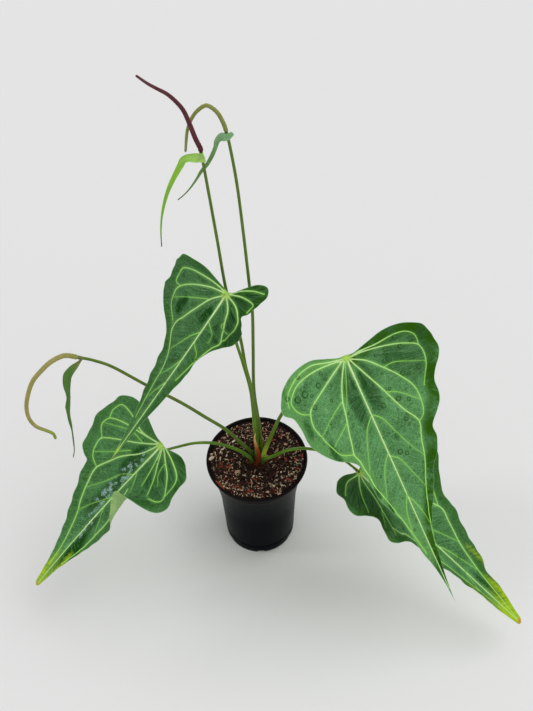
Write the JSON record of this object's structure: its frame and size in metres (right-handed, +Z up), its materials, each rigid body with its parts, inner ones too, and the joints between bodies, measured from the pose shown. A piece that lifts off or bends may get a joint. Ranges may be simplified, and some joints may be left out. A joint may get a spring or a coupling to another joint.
{
  "type": "potted anthurium plant",
  "caption": "Anthurium with long drooping delta-shaped leaves and thin arching flower spikes, growing in a flared black nursery pot.",
  "frame": {"origin": "centre of the pot's flat base, on the surface it stands on", "axes": "+Z up through the pot and the plant, -Y towards the side that the picture is taken from"},
  "size_m": [0.5631, 0.265, 0.6726],
  "materials": {
    "pot": "thin moulded black plastic, satin",
    "soil": "loose dark bark and coir mix with pale chips",
    "stem": "short reddish brown stem",
    "cataphyll": "dry orange papery sheath",
    "leaf_blade": "mid green leathery blade with pale veins",
    "petiole": "smooth green leaf stalk",
    "peduncle": "smooth olive green flower stalk",
    "spadix_maroon": "dark maroon, finely beaded",
    "spadix_olive": "olive green, finely beaded",
    "spadix_brown": "pinkish olive brown, finely beaded",
    "spathe_light": "bright light green, satin",
    "spathe": "green, satin"
  },
  "bodies": {
    "root": {"pot": "pot", "soil": "soil", "stem": "stem", "cataphyll": "cataphyll", "leaf_blade_upper": "leaf_blade", "leaf_blade_right": "leaf_blade", "leaf_blade_low_left": "leaf_blade", "leaf_blade_low_right": "leaf_blade", "petiole_upper": "petiole", "petiole_right": "petiole", "petiole_low_left": "petiole", "petiole_low_right": "petiole", "peduncle_tall_left": "peduncle", "peduncle_tall_right": "peduncle", "peduncle_low_left": "peduncle", "spadix_tall_left": "spadix_maroon", "spadix_tall_right": "spadix_olive", "spadix_low_left": "spadix_brown", "spathe_tall_left": "spathe_light", "spathe_tall_right": "spathe", "spathe_low_left": "spathe"}
  },
  "joints": []
}
